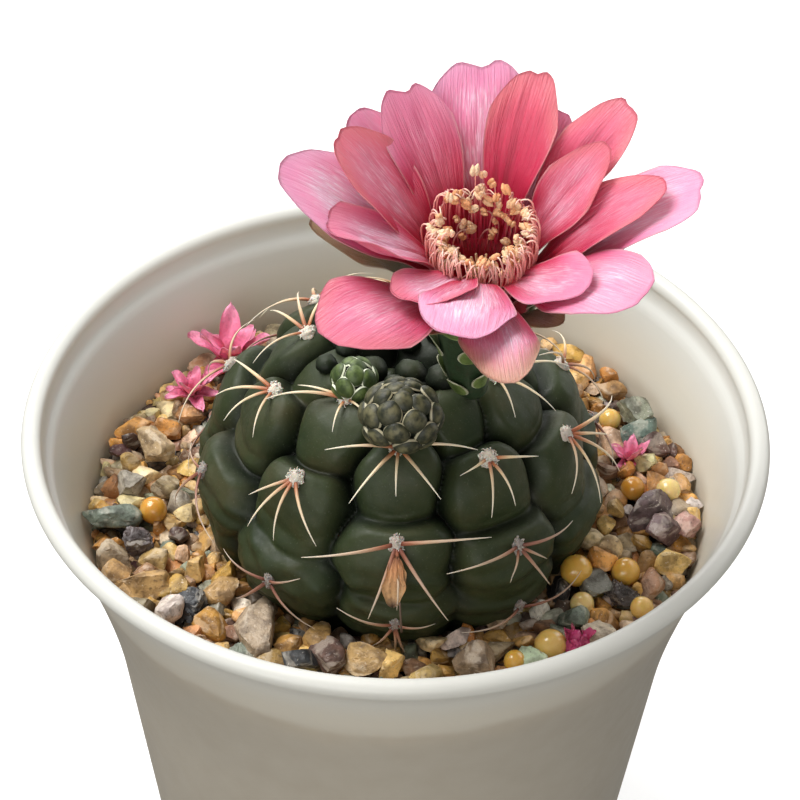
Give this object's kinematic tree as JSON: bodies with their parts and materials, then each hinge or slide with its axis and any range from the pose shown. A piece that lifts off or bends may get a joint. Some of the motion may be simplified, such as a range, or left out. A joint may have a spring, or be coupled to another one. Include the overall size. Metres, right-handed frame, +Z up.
{
  "type": "potted round cactus",
  "caption": "Small round ribbed cactus with an open pink flower and buds, standing in coarse grit in a flared round pot with drain slots.",
  "frame": {"origin": "centre of the pot's foot, on the surface that it stands on", "axes": "+Z up, along the pot's axis; -Y to the front, the side that the flower leans to; +X to the right, seen from the front"},
  "size_m": [0.09, 0.09, 0.1275],
  "materials": {
    "pot_plastic": "satin",
    "grit": "matte",
    "cactus_skin": "matte",
    "tube_skin": "matte",
    "petal": "satin",
    "outer_tepal": "satin",
    "stamens": "matte",
    "pistil": "matte",
    "bud_scales": "matte",
    "spines": "satin",
    "feed_bead": "satin",
    "stone": "matte",
    "fallen_blossom": "matte"
  },
  "bodies": {
    "root": {"bud_large": "bud_scales", "bud_small": "bud_scales", "cactus_stem": "cactus_skin", "fallen_blossom_back": "fallen_blossom", "fallen_blossom_left": "fallen_blossom", "fallen_blossom_right": "fallen_blossom", "feed_bead_1": "feed_bead", "feed_bead_2": "feed_bead", "feed_bead_3": "feed_bead", "feed_bead_4": "feed_bead", "flower_tube": "tube_skin", "grit_bed": "grit", "outer_tepal_1": "outer_tepal", "outer_tepal_2": "outer_tepal", "outer_tepal_3": "outer_tepal", "outer_tepal_4": "outer_tepal", "outer_tepal_5": "outer_tepal", "outer_tepal_6": "outer_tepal", "petal_01": "petal", "petal_02": "petal", "petal_03": "petal", "petal_04": "petal", "petal_05": "petal", "petal_06": "petal", "petal_07": "petal", "petal_08": "petal", "petal_09": "petal", "petal_10": "petal", "petal_11": "petal", "petal_12": "petal", "petal_13": "petal", "petal_14": "petal", "petal_15": "petal", "petal_16": "petal", "petal_17": "petal", "petal_18": "petal", "pistil": "pistil", "pot": "pot_plastic", "spines_back": "spines", "spines_back_left": "spines", "spines_back_right": "spines", "spines_far_left": "spines", "spines_far_left_crown": "spines", "spines_far_right": "spines", "spines_front_lower": "spines", "spines_front_upper": "spines", "spines_left_base": "spines", "spines_left_upper": "spines", "spines_right_base": "spines", "spines_right_lower": "spines", "spines_right_upper": "spines", "spines_side_left": "spines", "spines_side_left_upper": "spines", "spines_side_right": "spines", "spines_side_right_crown": "spines", "stamens": "stamens", "stone_1": "stone", "stone_2": "stone", "stone_3": "stone", "stone_4": "stone"}
  },
  "joints": []
}
